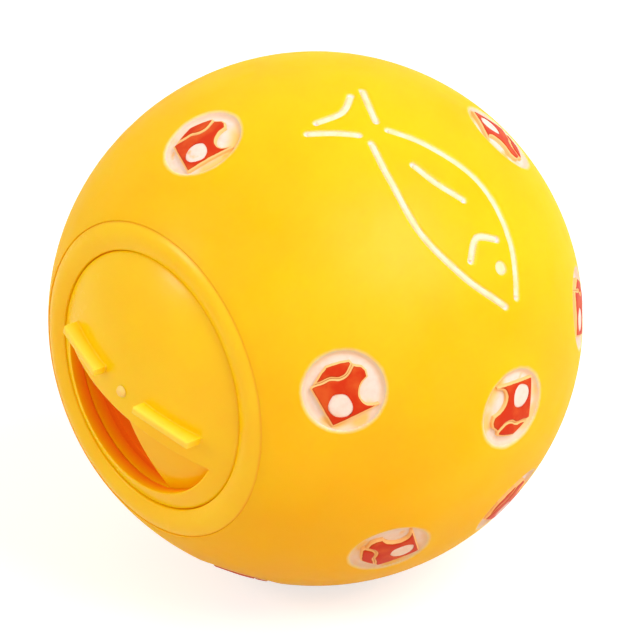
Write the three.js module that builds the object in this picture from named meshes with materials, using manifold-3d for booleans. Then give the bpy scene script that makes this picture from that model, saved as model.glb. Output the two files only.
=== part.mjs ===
// A cat activity ball: a hollow ball with a round treat dispenser set into its mouth.
// Turning the domed dial slides its half-moon window across the window of the gate plate under it,
// so that dry treats fall out faster or slower as the ball rolls.
// Millimetres, +Z up. The ball stands on the origin and its dial faces -Y.
import * as THREE from "three";
import { mergeVertices } from "three/addons/utils/BufferGeometryUtils.js";
import Module from "manifold-3d";

// Clearances
const SEAT_GAP = 0.3; // between pieces that sit on or in each other
const RUNNING_GAP = 0.3; // between the dial and what it turns in

// Ball shell
const BALL_DIAMETER = 70;
const SHELL_WALL = 2.2;
const LIP_THICKNESS = 2; // rim round the mouth, along the dial axis
const CREASE_DEPTH = 1; // edge of the collar, below the edge of the mouth

// Dial
const DIAL_DIAMETER = 34.4;
const DIAL_INSET = 2; // crown of the dial, below the curve of the ball
const DIAL_THICKNESS = 1.6;
const DIAL_CHAMFER = 0.4;
const DIAL_RIM = 2.4; // band outside the window
const WINDOW_EDGE = 3.45; // straight edge of both windows, from the axis
const DIAL_ANGLE = -17.5; // straight edge at rest, in degrees from level
const BAR_LENGTH = 8.9;
const BAR_WIDTH = 1;
const BAR_HEIGHT = 2; // inner end of a grip bar, above the dome
const BAR_RISE = 0.4; // outer end, higher above the dome than the inner end
const BAR_SPACING = 7.9; // between the inner ends of the two grip bars
const BAR_SHIFT = 0.57; // grip bars, from the axis and away from the window

// Collar and gate plate
const COLLAR_WIDTH = 3.4; // bead round the dial
const COLLAR_RISE = 0.2; // inner edge of the bead, above the dome of the dial
const COLLAR_CROWN = 0.7; // bulge of the bead
const FLANGE_EDGE = 0.4;
const SHOULDER_WIDTH = 1.2; // ring that carries the rim of the dial
const LEDGE_WIDTH = 1; // ring that carries the gate plate
const LEDGE_THICKNESS = 1.9;
const NECK_WALL = 2.1;
const BARB_REACH = 0.8; // snap edge that holds the collar behind the lip
const GATE_THICKNESS = 1.4;
const GATE_ANGLE = -66; // straight edge, in degrees from level

// Pivot of the dial
const PIN_DIAMETER = 0.8;
const PIN_HEAD_RIM = 0.2; // head, past the edge of its hole
const PIN_HEAD_HEIGHT = 0.6;
const PIN_TAIL = 0.6; // end of the pin, past the cap
const CAP_RIM = 1.5;
const CAP_THICKNESS = 1.2;

// Round spots: a white disc in a pocket of the shell, with a red wedge on it
const SPOT_DIAMETER = 10.6;
const DISC_THICKNESS = 0.3;
const WEDGE_THICKNESS = 0.3;
const WEDGE_MARGIN = 0.25; // corners of the wedge, from the edge of the disc
const DOT_DIAMETER = 3.1;
const NOTCH_DIAMETER = 3.4;
const SLOT_LENGTH = 4.6;
const SLOT_WIDTH = 0.4;
// Each spot: tilt from the dial axis, turn about that axis and roll of the wedge, in degrees
const SEEN_SPOT_ANGLES = [
  [59.4, 93.4, -32],
  [55.4, 12.1, 15],
  [95.4, -2.3, 172],
  [72.8, -38, 121],
  [123.7, 60.4, 240],
  [131.9, 7.6, -20],
  [105, -35, 42],
  [60.6, -81.5, -47],
];
const HALF_TURN = 180; // the far side repeats the near side, half a turn about the dial axis
const FAR_SPOT_ANGLES = SEEN_SPOT_ANGLES.slice(1, -1).map(([tilt, turn, roll]) => [
  tilt,
  turn + HALF_TURN,
  roll,
]);

// Wedge outline and its details, in shares of the circle through its corners
const WEDGE_CORNERS = [
  [-0.77, 0.45],
  [-0.64, -0.76],
  [0.7, -0.71],
  [0.73, 0.36],
  [0.47, 0.67],
  [-0.16, 0.79],
];
const DOT_PLACE = [-0.24, -0.3];
const NOTCH_PLACE = [0.71, -0.25];
const SLOT_PLACE = [-0.02, 0.4];

// Line figure: a fish in raised white line, once on each side
const FISH_LENGTH = 36;
const FISH_HEIGHT = 14;
const LINE_WIDTH = 0.8;
const EYE_DIAMETER = 1.6;
const FISH_TILT_ANGLE = 91;
const FISH_TURN_ANGLE = 48.4;
const FISH_ROLL_ANGLE = -75;
// Each stroke runs through these points, in shares of half the length and half the height
const FISH_STROKES = {
  back: [
    [0.96, 0.18],
    [0.6, 0.72],
    [0.15, 0.95],
    [-0.3, 0.62],
    [-0.58, 0.26],
  ],
  belly: [
    [0.96, -0.18],
    [0.6, -0.72],
    [0.15, -0.95],
    [-0.3, -0.62],
    [-0.58, -0.26],
  ],
  tail_top: [
    [-0.69, 0.27],
    [-0.83, 0.56],
    [-0.97, 0.9],
  ],
  tail_low: [
    [-0.69, -0.27],
    [-0.83, -0.56],
    [-0.97, -0.9],
  ],
  tail_end: [
    [-0.99, 0.56],
    [-0.92, 0],
    [-0.99, -0.56],
  ],
  gill: [
    [0.53, 0.42],
    [0.43, 0],
    [0.53, -0.42],
  ],
  fin: [
    [0.16, 0.3],
    [-0.06, 0.06],
    [-0.26, -0.02],
  ],
};
const EYE_PLACE = [0.71, 0.14];

// Facets
const BALL_SEGMENTS = 40;
const DISPENSER_SEGMENTS = 36;
const DOME_RINGS = 3;
const BEAD_SEGMENTS = 5;
const PIN_SEGMENTS = 12;
const SPOT_SEGMENTS = 14;
const WEDGE_FACETS = 8;
const WINDOW_SEGMENTS = 10;
const WEDGE_SEGMENTS = 5;
const STROKE_SAMPLES = 40;
const LINE_SIDES = 6;
const LINE_STEP = 3;
const MERGE_DISTANCE = 1e-4;

// Sizes that follow from the ones above
const ballRadius = BALL_DIAMETER / 2;
const innerRadius = ballRadius - SHELL_WALL;
const dialRadius = DIAL_DIAMETER / 2;
const dialTop = ballRadius - DIAL_INSET;
const dialUnder = dialTop - DIAL_THICKNESS;
const gateTop = dialUnder - RUNNING_GAP;
const gateUnder = gateTop - GATE_THICKNESS;
const windowRadius = dialRadius - DIAL_RIM;
const dialBore = dialRadius + RUNNING_GAP;
const gateBore = dialBore - SHOULDER_WIDTH;
const gateRadius = gateBore - SEAT_GAP;
const neckRadius = gateBore + NECK_WALL;
const mouthRadius = neckRadius + SEAT_GAP;
const flangeRadius = dialBore + COLLAR_WIDTH;
const seatRadius = flangeRadius + SEAT_GAP;
const creaseHeight = sphereHeight(ballRadius, seatRadius) - CREASE_DEPTH;
const flangeUnder = creaseHeight - FLANGE_EDGE;
const seatHeight = flangeUnder - SEAT_GAP;
const lipUnder = seatHeight - LIP_THICKNESS;
const pinRadius = PIN_DIAMETER / 2;
const pinHole = pinRadius + SEAT_GAP;
const capRadius = pinHole + CAP_RIM;
const capTop = sphereHeight(gateUnder, capRadius) - RUNNING_GAP;
const capUnder = capTop - CAP_THICKNESS;
const spotRadius = SPOT_DIAMETER / 2;
const pocketRadius = spotRadius + SEAT_GAP;
const wedgeUnder = ballRadius - WEDGE_THICKNESS;
const discTop = wedgeUnder - SEAT_GAP;
const discUnder = discTop - DISC_THICKNESS;
const pocketFloor = discUnder - SEAT_GAP;
const lineRadius = LINE_WIDTH / 2;
const lineCentre = ballRadius - lineRadius;

const wasm = await Module();
wasm.setup();

// Height of a sphere about the ball's centre, at a distance from the axis
function sphereHeight(radius, reach) {
  return Math.sqrt(radius * radius - reach * reach);
}

// Points of a sphere's outline between two distances from the axis, on the dial's side
function domeArc(radius, from, to, steps) {
  const first = Math.asin(from / radius);
  const last = Math.asin(to / radius);
  return polarArc(radius, first, last, steps);
}

// Points of a sphere's outline between two angles from the axis
function polarArc(radius, first, last, steps) {
  return Array.from({ length: steps + 1 }, (_, i) => {
    const angle = first + ((last - first) * i) / steps;
    return [radius * Math.sin(angle), radius * Math.cos(angle)];
  });
}

// A closed geometry as a solid that can be joined and cut
function solidOf(geometry) {
  const bare = new THREE.BufferGeometry();
  bare.setAttribute("position", geometry.getAttribute("position"));
  bare.setIndex(geometry.index);
  const merged = mergeVertices(bare, MERGE_DISTANCE);
  const index = merged.index.array;
  const triangles = [];
  for (let i = 0; i < index.length; i += 3) {
    const [a, b, c] = index.slice(i, i + 3);
    if (a !== b && b !== c && c !== a) triangles.push(a, b, c);
  }
  return new wasm.Manifold(
    new wasm.Mesh({
      numProp: 3,
      vertProperties: merged.getAttribute("position").array,
      triVerts: new Uint32Array(triangles),
    }),
  );
}

// A solid as a geometry with flat facets
function geometryOf(solid) {
  const mesh = solid.getMesh();
  const geometry = new THREE.BufferGeometry();
  geometry.setAttribute("position", new THREE.BufferAttribute(mesh.vertProperties, 3));
  geometry.setIndex(new THREE.BufferAttribute(mesh.triVerts, 1));
  const facets = geometry.toNonIndexed();
  facets.computeVertexNormals();
  return facets;
}

// A profile of [distance from the axis, height] pairs, turned about Z
function turned(profile, segments) {
  const points = profile.map(([reach, height]) => new THREE.Vector2(reach, height));
  return solidOf(new THREE.LatheGeometry(points, segments).rotateX(Math.PI / 2));
}

// A flat shape in X and Y, raised along Z between two heights
function raised(shape, from, to, curveSegments) {
  const settings = { depth: to - from, bevelEnabled: false, curveSegments };
  return solidOf(new THREE.ExtrudeGeometry(shape, settings).translate(0, 0, from));
}

// A round slice of a spherical skin, centred on the Z axis
function skinDisc(under, top, reach, segments, rings = 1) {
  const profile = [...domeArc(under, 0, reach, rings), ...domeArc(top, reach, 0, rings)];
  return turned(profile, segments);
}

// A round cutter that leaves a spherical floor
function pocketCutter(floor, reach, segments) {
  const above = ballRadius + reach;
  return turned([...domeArc(floor, 0, reach, 1), [reach, above], [0, above]], segments);
}

// The turn that brings Z to a place on the ball: tilt from the dial axis, turn about it, then roll
function aim([tilt, turn, roll]) {
  const about = (axis, degrees) =>
    new THREE.Quaternion().setFromAxisAngle(axis, THREE.MathUtils.degToRad(degrees));
  const y = new THREE.Vector3(0, 1, 0);
  const z = new THREE.Vector3(0, 0, 1);
  return about(z, turn).multiply(about(y, tilt)).multiply(about(z, roll));
}

// A solid moved by a turn about the ball's centre
function turnedTo(solid, quaternion) {
  return solidOf(geometryOf(solid).applyQuaternion(quaternion));
}

function halfMoon() {
  const corner = Math.asin(WINDOW_EDGE / windowRadius);
  const shape = new THREE.Shape();
  shape.absarc(0, 0, windowRadius, Math.PI + corner, 2 * Math.PI - corner, false);
  shape.closePath();
  return raised(shape, 0, ballRadius, WINDOW_SEGMENTS);
}

function shaftHole(radius) {
  return turned([[0, 0], [radius, 0], [radius, ballRadius], [0, ballRadius]], PIN_SEGMENTS);
}

// Hollow ball with a lipped mouth, before its spots and lines are cut
function shellBlank() {
  const mouthAngle = Math.asin(seatRadius / ballRadius);
  const lipAngle = Math.acos(lipUnder / innerRadius);
  const quarter = BALL_SEGMENTS / 4;
  const eighth = Math.ceil(quarter / 2);
  const profile = [
    ...polarArc(ballRadius, Math.PI, Math.PI / 2, quarter),
    ...polarArc(ballRadius, Math.PI / 2, mouthAngle, eighth).slice(1),
    [seatRadius, seatHeight],
    [mouthRadius, seatHeight],
    [mouthRadius, lipUnder],
    ...polarArc(innerRadius, lipAngle, Math.PI, quarter),
  ];
  return turned(profile, BALL_SEGMENTS);
}

// Ring that snaps into the mouth, carries the gate plate and frames the dial with a round bead
function collarSolid() {
  const shoulder = sphereHeight(dialUnder, dialRadius) - RUNNING_GAP;
  const ledge = sphereHeight(gateUnder, gateRadius) - SEAT_GAP;
  const neckEnd = ledge - LEDGE_THICKNESS;
  const barbTop = lipUnder - SEAT_GAP;
  const outer = new THREE.Vector2(flangeRadius, creaseHeight);
  const inner = new THREE.Vector2(dialBore, sphereHeight(dialTop, dialBore) + COLLAR_RISE);
  const across = inner.clone().sub(outer).normalize();
  const middle = outer.clone().add(inner).multiplyScalar(0.5);
  const control = middle.add(new THREE.Vector2(across.y, -across.x).multiplyScalar(2 * COLLAR_CROWN));
  const bead = new THREE.QuadraticBezierCurve(outer, control, inner).getPoints(BEAD_SEGMENTS);
  const profile = [
    [gateRadius - LEDGE_WIDTH, neckEnd],
    [neckRadius, neckEnd],
    [neckRadius + BARB_REACH, barbTop],
    [neckRadius, barbTop],
    [neckRadius, flangeUnder],
    [flangeRadius, flangeUnder],
    ...bead.map((point) => point.toArray()),
    [dialBore, shoulder],
    [gateBore, shoulder],
    [gateBore, ledge],
    [gateRadius - LEDGE_WIDTH, ledge],
    [gateRadius - LEDGE_WIDTH, neckEnd],
  ];
  return turned(profile, DISPENSER_SEGMENTS);
}

// Fixed domed plate with a half-moon window
function gateSolid() {
  return skinDisc(gateUnder, gateTop, gateRadius, DISPENSER_SEGMENTS, DOME_RINGS)
    .subtract(halfMoon())
    .subtract(shaftHole(pinRadius + RUNNING_GAP));
}

// One grip bar: a straight rib that stands on the dome, along X
function gripBar(side) {
  const from = BAR_SPACING / 2;
  const to = from + BAR_LENGTH;
  const foot = (reach) => sphereHeight(dialTop, reach) - DIAL_THICKNESS / 2;
  const crest = (reach, rise) => sphereHeight(dialTop, reach) + BAR_HEIGHT + rise;
  const outline = new THREE.Shape([
    new THREE.Vector2(from, foot(from)),
    new THREE.Vector2(to, foot(to)),
    new THREE.Vector2(to, crest(to, BAR_RISE)),
    new THREE.Vector2(from, crest(from, 0)),
  ]);
  const rib = new THREE.ExtrudeGeometry(outline, { depth: BAR_WIDTH, bevelEnabled: false });
  rib.translate(0, 0, -BAR_WIDTH / 2).rotateX(Math.PI / 2);
  rib.rotateZ(side < 0 ? Math.PI : 0).translate(0, BAR_SHIFT, 0);
  return solidOf(rib);
}

// Domed disc with a chamfered edge, a half-moon window and two grip bars
function dialSolid() {
  const edge = dialRadius - DIAL_CHAMFER;
  const profile = [
    ...domeArc(dialUnder, 0, dialRadius, DOME_RINGS),
    [dialRadius, sphereHeight(dialTop, dialRadius) - DIAL_CHAMFER],
    ...domeArc(dialTop, edge, 0, DOME_RINGS),
  ];
  return turned(profile, DISPENSER_SEGMENTS)
    .subtract(halfMoon())
    .add(gripBar(1))
    .add(gripBar(-1))
    .subtract(shaftHole(pinHole));
}

// Rivet with a domed head over the dial
function pinSolid() {
  const headRadius = pinHole + PIN_HEAD_RIM;
  const headUnder = dialTop + SEAT_GAP;
  const headTop = headUnder + PIN_HEAD_HEIGHT;
  const end = capUnder - PIN_TAIL;
  const dome = new THREE.QuadraticBezierCurve(
    new THREE.Vector2(headRadius, headUnder),
    new THREE.Vector2(headRadius, headTop),
    new THREE.Vector2(0, headTop),
  ).getPoints(BEAD_SEGMENTS);
  const profile = [[0, end], [pinRadius, end], [pinRadius, headUnder]];
  return turned([...profile, ...dome.map((point) => point.toArray())], PIN_SEGMENTS);
}

// Washer pushed on the pin, behind the gate plate
function capSolid() {
  const profile = [
    [pinHole, capUnder],
    [capRadius, capUnder],
    [capRadius, capTop],
    [pinHole, capTop],
    [pinHole, capUnder],
  ];
  return turned(profile, PIN_SEGMENTS);
}

// Curved red wedge with a round hole, a bite in its side and a slot under its top face
function wedgeSolid() {
  const reach = spotRadius - WEDGE_MARGIN;
  const place = ([x, y]) => new THREE.Vector2(x * reach, y * reach);
  const notch = place(NOTCH_PLACE);
  const dot = place(DOT_PLACE);
  const slot = place(SLOT_PLACE);
  const [topLeft, lowLeft, lowRight, topRight, shoulder, peak] = WEDGE_CORNERS.map(place);
  const outline = new THREE.Shape();
  outline.moveTo(topLeft.x, topLeft.y);
  outline.lineTo(lowLeft.x, lowLeft.y);
  outline.lineTo(lowRight.x, lowRight.y);
  outline.absarc(notch.x, notch.y, NOTCH_DIAMETER / 2, -Math.PI / 2, Math.PI / 2, true);
  outline.lineTo(topRight.x, topRight.y);
  outline.lineTo(shoulder.x, shoulder.y);
  outline.lineTo(peak.x, peak.y);
  const hole = new THREE.Path().absarc(dot.x, dot.y, DOT_DIAMETER / 2, 0, 2 * Math.PI);
  const [left, right] = [slot.x - SLOT_LENGTH / 2, slot.x + SLOT_LENGTH / 2];
  const [low, high] = [slot.y - SLOT_WIDTH / 2, slot.y + SLOT_WIDTH / 2];
  const gap = new THREE.Path().moveTo(left, low).lineTo(right, low).lineTo(right, high).lineTo(left, high);
  outline.holes.push(hole, gap);
  const depth = ballRadius - sphereHeight(wedgeUnder, spotRadius);
  const prism = raised(outline, ballRadius - 2 * depth, ballRadius + depth, WEDGE_SEGMENTS);
  return prism.intersect(skinDisc(wedgeUnder, ballRadius, spotRadius, WEDGE_FACETS));
}

// A point of the fish on a sphere about the ball's centre, keeping its distances from the fish's middle
function fishPoint([along, across], radius) {
  const x = (along * FISH_LENGTH) / 2;
  const y = (across * FISH_HEIGHT) / 2;
  const heading = Math.atan2(y, x);
  const angle = Math.hypot(x, y) / ballRadius;
  const out = radius * Math.sin(angle);
  return new THREE.Vector3(out * Math.cos(heading), out * Math.sin(heading), radius * Math.cos(angle));
}

// One stroke of the fish as a round bead along the ball, with its ends cut back
function strokeSolid(points, radius, cutBack) {
  const flat = new THREE.SplineCurve(points.map(([x, y]) => new THREE.Vector2(x, y)));
  const rough = new THREE.CatmullRomCurve3(
    flat.getPoints(STROKE_SAMPLES).map((point) => fishPoint(point.toArray(), lineCentre)),
  );
  const length = rough.getLength();
  const steps = Math.ceil(length / LINE_STEP);
  const trim = cutBack / length;
  const route = Array.from({ length: steps + 1 }, (_, i) =>
    rough.getPointAt(trim + ((1 - 2 * trim) * i) / steps),
  );
  const section = new THREE.Shape().absarc(0, 0, radius, 0, 2 * Math.PI);
  const settings = { steps, curveSegments: LINE_SIDES / 2, extrudePath: new THREE.CatmullRomCurve3(route) };
  return solidOf(new THREE.ExtrudeGeometry(section, { ...settings, bevelEnabled: false }));
}

// The eye sits where the ball's axis through the eye's place comes out
function eyeAim() {
  const place = fishPoint(EYE_PLACE, 1);
  return new THREE.Quaternion().setFromUnitVectors(new THREE.Vector3(0, 0, 1), place);
}

// Plastics and paints
const plastic = (color, roughness) => new THREE.MeshStandardMaterial({ color, roughness, metalness: 0 });
const shellPlastic = plastic(0xffc000, 0.42);
const dispenserPlastic = plastic(0xfac62c, 0.36);
const pinPlastic = plastic(0xf7bd55, 0.3);
const whitePaint = plastic(0xfff1e2, 0.55);
const redPaint = plastic(0xe84a26, 0.45);

// Everything inside this group has the dial axis along Z and the ball's centre at its origin
const ball = new THREE.Group();
ball.position.z = ballRadius;
ball.rotation.x = Math.PI / 2;

function addMesh(parent, name, geometry, material) {
  const mesh = new THREE.Mesh(geometry, material);
  mesh.name = name;
  parent.add(mesh);
  return mesh;
}

// Spots, each in a pocket of the shell
const discGeometry = geometryOf(skinDisc(discUnder, discTop, spotRadius, SPOT_SEGMENTS));
const wedgeGeometry = geometryOf(wedgeSolid());
const pocket = pocketCutter(pocketFloor, pocketRadius, SPOT_SEGMENTS);
let shell = shellBlank();
[...SEEN_SPOT_ANGLES, ...FAR_SPOT_ANGLES].forEach((place, i) => {
  const number = String(i + 1).padStart(2, "0");
  const spot = new THREE.Group();
  spot.quaternion.copy(aim(place));
  addMesh(spot, `spot_${number}_disc`, discGeometry, whitePaint);
  addMesh(spot, `spot_${number}_wedge`, wedgeGeometry, redPaint);
  ball.add(spot);
  shell = shell.subtract(turnedTo(pocket, spot.quaternion));
});

// Fish, each stroke in a groove of the shell
const eyeRadius = EYE_DIAMETER / 2;
const eyeUnder = ballRadius - LINE_WIDTH;
const eyeGeometry = geometryOf(skinDisc(eyeUnder, ballRadius, eyeRadius, PIN_SEGMENTS));
const eyePocket = pocketCutter(eyeUnder - SEAT_GAP, eyeRadius + SEAT_GAP, PIN_SEGMENTS);
[FISH_TURN_ANGLE, FISH_TURN_ANGLE + HALF_TURN].forEach((turn, i) => {
  const fish = new THREE.Group();
  fish.quaternion.copy(aim([FISH_TILT_ANGLE, turn, FISH_ROLL_ANGLE]));
  for (const [stroke, points] of Object.entries(FISH_STROKES)) {
    const line = strokeSolid(points, lineRadius, SEAT_GAP);
    const groove = strokeSolid(points, lineRadius + SEAT_GAP, 0);
    addMesh(fish, `fish_${i + 1}_${stroke}`, geometryOf(line), whitePaint);
    shell = shell.subtract(turnedTo(groove, fish.quaternion));
  }
  const eye = addMesh(fish, `fish_${i + 1}_eye`, eyeGeometry, whitePaint);
  eye.quaternion.copy(eyeAim());
  const eyeTurn = fish.quaternion.clone().multiply(eye.quaternion);
  shell = shell.subtract(turnedTo(eyePocket, eyeTurn));
  ball.add(fish);
});

addMesh(ball, "ball_shell", geometryOf(shell), shellPlastic);
addMesh(ball, "collar", geometryOf(collarSolid()), dispenserPlastic);
const gate = addMesh(ball, "gate_plate", geometryOf(gateSolid()), dispenserPlastic);
gate.rotation.z = THREE.MathUtils.degToRad(GATE_ANGLE);

// The dial and its pivot turn together
const dial = new THREE.Group();
dial.rotation.z = THREE.MathUtils.degToRad(DIAL_ANGLE);
addMesh(dial, "dial", geometryOf(dialSolid()), dispenserPlastic);
addMesh(dial, "pivot_pin", geometryOf(pinSolid()), pinPlastic);
addMesh(dial, "pivot_cap", geometryOf(capSolid()), dispenserPlastic);
ball.add(dial);

const activityBall = new THREE.Group();
activityBall.add(ball);
export default activityBall;
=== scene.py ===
# A cat activity ball: a hollow moulded ball with painted spots and a line fish, and a round treat
# dispenser in its mouth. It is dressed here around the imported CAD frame, one piece after the other.
# Sizes are in millimetres, in the dial's own frame: the ball's centre at zero and the dial axis along Z.
import math

import bmesh
import bpy
from mathutils import Matrix, Vector
from mathutils.geometry import interpolate_bezier
from mathutils.kdtree import KDTree


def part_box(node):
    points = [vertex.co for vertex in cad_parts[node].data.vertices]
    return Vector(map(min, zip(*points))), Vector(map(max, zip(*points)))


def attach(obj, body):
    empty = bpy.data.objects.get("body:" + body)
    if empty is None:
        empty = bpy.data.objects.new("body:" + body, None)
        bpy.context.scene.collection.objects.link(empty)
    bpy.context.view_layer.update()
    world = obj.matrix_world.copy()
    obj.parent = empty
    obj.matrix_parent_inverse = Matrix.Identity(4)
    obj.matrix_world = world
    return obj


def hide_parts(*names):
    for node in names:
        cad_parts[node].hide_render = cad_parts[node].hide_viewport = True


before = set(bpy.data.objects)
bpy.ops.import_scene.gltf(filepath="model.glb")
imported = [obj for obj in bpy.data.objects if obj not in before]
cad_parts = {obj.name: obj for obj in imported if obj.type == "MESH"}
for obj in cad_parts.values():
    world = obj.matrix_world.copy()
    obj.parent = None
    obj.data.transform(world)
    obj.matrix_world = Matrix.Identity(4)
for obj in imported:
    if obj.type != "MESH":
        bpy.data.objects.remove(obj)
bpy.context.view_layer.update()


# Ball shell: one hollow ball of soft yellow plastic with a rounded lip round its mouth.
# It is moulded in one piece, with a shallow round recess for each spot and a groove for each line
# of the fish. White paint is sprayed on these, so a little of it lies on the edges of the shell.
MM = 0.001
BALL_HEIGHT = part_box("ball_shell")[1].z / MM
BALL_RADIUS = BALL_HEIGHT / 2
SHELL_WALL = 2.2
INNER_RADIUS = BALL_RADIUS - SHELL_WALL
INNER_MARGIN = 0.05
SEAT_RADIUS = 21.2
SEAT_HEIGHT = 26.15
MOUTH_RADIUS = 18.7
MOUTH_ROUNDING = 0.3
LIP_UNDER = 24.15
LIP_ROUNDING = 0.25
# The crease outside the collar gets a little of the painted inside shade and glow, as painted light
# coming through the lip.
CREASE_HEIGHT = 27.62
CREASE_FADE = (0.04, 0.3)
CREASE_PAINTED_LIGHT = 0.3
BALL_STEPS = 160
OUTER_RINGS = 64
INNER_RINGS = 26
ROUNDING_STEPS = 5
MERGE_GAP = 0.0001
SHARP_ANGLE = math.radians(38)

# Tilt from the dial axis, turn about it and roll of the wedge, in degrees
NEAR_SPOTS = [
    (59.4, 93.4, -32),
    (55.4, 12.1, 15),
    (95.4, -2.3, 172),
    (72.8, -38, 121),
    (123.7, 60.4, 240),
    (131.9, 7.6, -20),
    (105, -35, 42),
    (60.6, -81.5, -47),
]
SPOTS = NEAR_SPOTS + [(tilt, turn + 180, roll) for tilt, turn, roll in NEAR_SPOTS[1:-1]]
RECESS_DEPTH = 0.6
RECESS_SLOPE = (4.7, 5.6)
PAINT_BED = 0.28
PAINT_EDGE = (4.9, 5.25)
SPOT_MIST = (4.9, 6.1)
SPOT_FINE_REACH = 6.9
SPOT_CUTS = 4

# Strokes of the fish, in shares of its half length and half height
FISH_PLACES = [(91, 48.4, -75), (91, 228.4, -75)]
FISH_HALF_LENGTH = 18.0
FISH_HALF_HEIGHT = 7.0
FISH_STROKES = {
    "back": [(0.96, 0.18), (0.6, 0.72), (0.15, 0.95), (-0.3, 0.62), (-0.58, 0.26)],
    "belly": [(0.96, -0.18), (0.6, -0.72), (0.15, -0.95), (-0.3, -0.62), (-0.58, -0.26)],
    "tail_top": [(-0.69, 0.27), (-0.83, 0.56), (-0.97, 0.9)],
    "tail_low": [(-0.69, -0.27), (-0.83, -0.56), (-0.97, -0.9)],
    "tail_end": [(-0.99, 0.56), (-0.92, 0), (-0.99, -0.56)],
    "gill": [(0.53, 0.42), (0.43, 0), (0.53, -0.42)],
    "fin": [(0.16, 0.3), (-0.06, 0.06), (-0.26, -0.02)],
}
STROKE_STEPS = 40
EYE_PLACE = (0.71, 0.14)
EYE_RADIUS = 0.8
EYE_MARGIN = 0.36
GROOVE_DEPTH = 0.35
GROOVE_SLOPE = (0.24, 0.66)
LINE_MIST = (0.25, 0.68)
LINE_FINE_REACH = 1.7
LINE_CUTS = 5


def turned(profile, steps, closed=False, rounding=None):
    """A profile of (reach, height) pairs, turned about the dial axis.

    rounding softens corners of the profile: {corner: size}.
    """
    shape = bmesh.new()
    chain = [shape.verts.new((reach, 0, height)) for reach, height in profile]
    for start, end in zip(chain, chain[1:] + chain[:1] if closed else chain[1:]):
        shape.edges.new((start, end))
    for corner, size in (rounding or {}).items():
        bmesh.ops.bevel(
            shape,
            geom=[chain[corner]],
            affect="VERTICES",
            offset=size,
            offset_type="OFFSET",
            segments=ROUNDING_STEPS,
            profile=0.5,
            material=-1,
        )
    bmesh.ops.spin(
        shape,
        geom=shape.verts[:] + shape.edges[:],
        cent=(0, 0, 0),
        axis=(0, 0, 1),
        angle=2 * math.pi,
        steps=steps,
        use_merge=True,
    )
    bmesh.ops.remove_doubles(shape, verts=shape.verts[:], dist=MERGE_GAP)
    bmesh.ops.recalc_face_normals(shape, faces=shape.faces[:])
    return shape


def arc(radius, first, last, steps):
    """Points of a circle about the ball's centre, between two angles from the dial axis."""
    angles = [first + (last - first) * i / steps for i in range(steps + 1)]
    return [(radius * math.sin(angle), radius * math.cos(angle)) for angle in angles]


def turn_about(axis, degrees):
    """A turn about one axis."""
    return Matrix.Rotation(math.radians(degrees), 4, axis)


def aim(tilt, turn, roll):
    """The turn that brings the Z axis to a place on the ball."""
    return turn_about("Z", turn) @ turn_about("Y", tilt) @ turn_about("Z", roll)


def on_ball(x, y, radius):
    """A point of a flat figure, laid on a sphere about the Z axis.

    Its distance from the middle of the figure is kept on the ball's face.
    """
    reach = math.hypot(x, y)
    angle = reach / BALL_RADIUS
    out = radius * math.sin(angle) / max(reach, 1e-9)
    return Vector((x * out, y * out, radius * math.cos(angle)))


def on_face(place):
    """The place on the ball's round face straight above or below."""
    return place.normalized() * BALL_RADIUS


def on_fish(x, y):
    """A point of the fish, given in shares of its size, on the ball's face."""
    return on_ball(x * FISH_HALF_LENGTH, y * FISH_HALF_HEIGHT, BALL_RADIUS)


def soft_line(points, steps, closed=False):
    """A smooth line through flat points."""
    knots = [Vector((*point, 0)) for point in points]
    count = len(knots)

    def knot(index):
        return knots[index % count] if closed else knots[min(max(index, 0), count - 1)]

    line = []
    for i in range(count if closed else count - 1):
        out = knot(i) + (knot(i + 1) - knot(i - 1)) / 6
        back = knot(i + 1) - (knot(i + 2) - knot(i)) / 6
        line += interpolate_bezier(knot(i), out, back, knot(i + 1), steps + 1)[:-1]
    return line if closed else line + [knots[-1]]


def ruler(points):
    """A function that gives the distance from a place to the nearest of these points."""
    tree = KDTree(len(points))
    for index, point in enumerate(points):
        tree.insert(point, index)
    tree.balance()
    return lambda place: tree.find(place)[2]


def ease(value, low, high):
    """0 at low, 1 at high, with soft ends."""
    share = min(max((value - low) / (high - low), 0), 1)
    return share * share * (3 - 2 * share)


def faces_where(shape, wanted):
    """The faces whose middle is wanted."""
    return [face for face in shape.faces if wanted(face.calc_center_median())]


def make_piece(name, shape, finish, body, node):
    """The finished piece in the frame of the CAD, riding on its body in place of its CAD node."""
    for face in shape.faces:
        face.smooth = True
    for edge in shape.edges:
        edge.smooth = edge.calc_face_angle(0) < SHARP_ANGLE
    lifted = Matrix.Translation((0, 0, BALL_RADIUS * MM))
    shape.transform(lifted @ turn_about("X", 90) @ Matrix.Scale(MM, 4))
    mesh = bpy.data.meshes.new(name)
    shape.to_mesh(mesh)
    shape.free()
    mesh.materials.append(finish)
    piece = bpy.data.objects.new(name, mesh)
    bpy.context.scene.collection.objects.link(piece)
    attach(piece, body)
    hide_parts(node)


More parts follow.
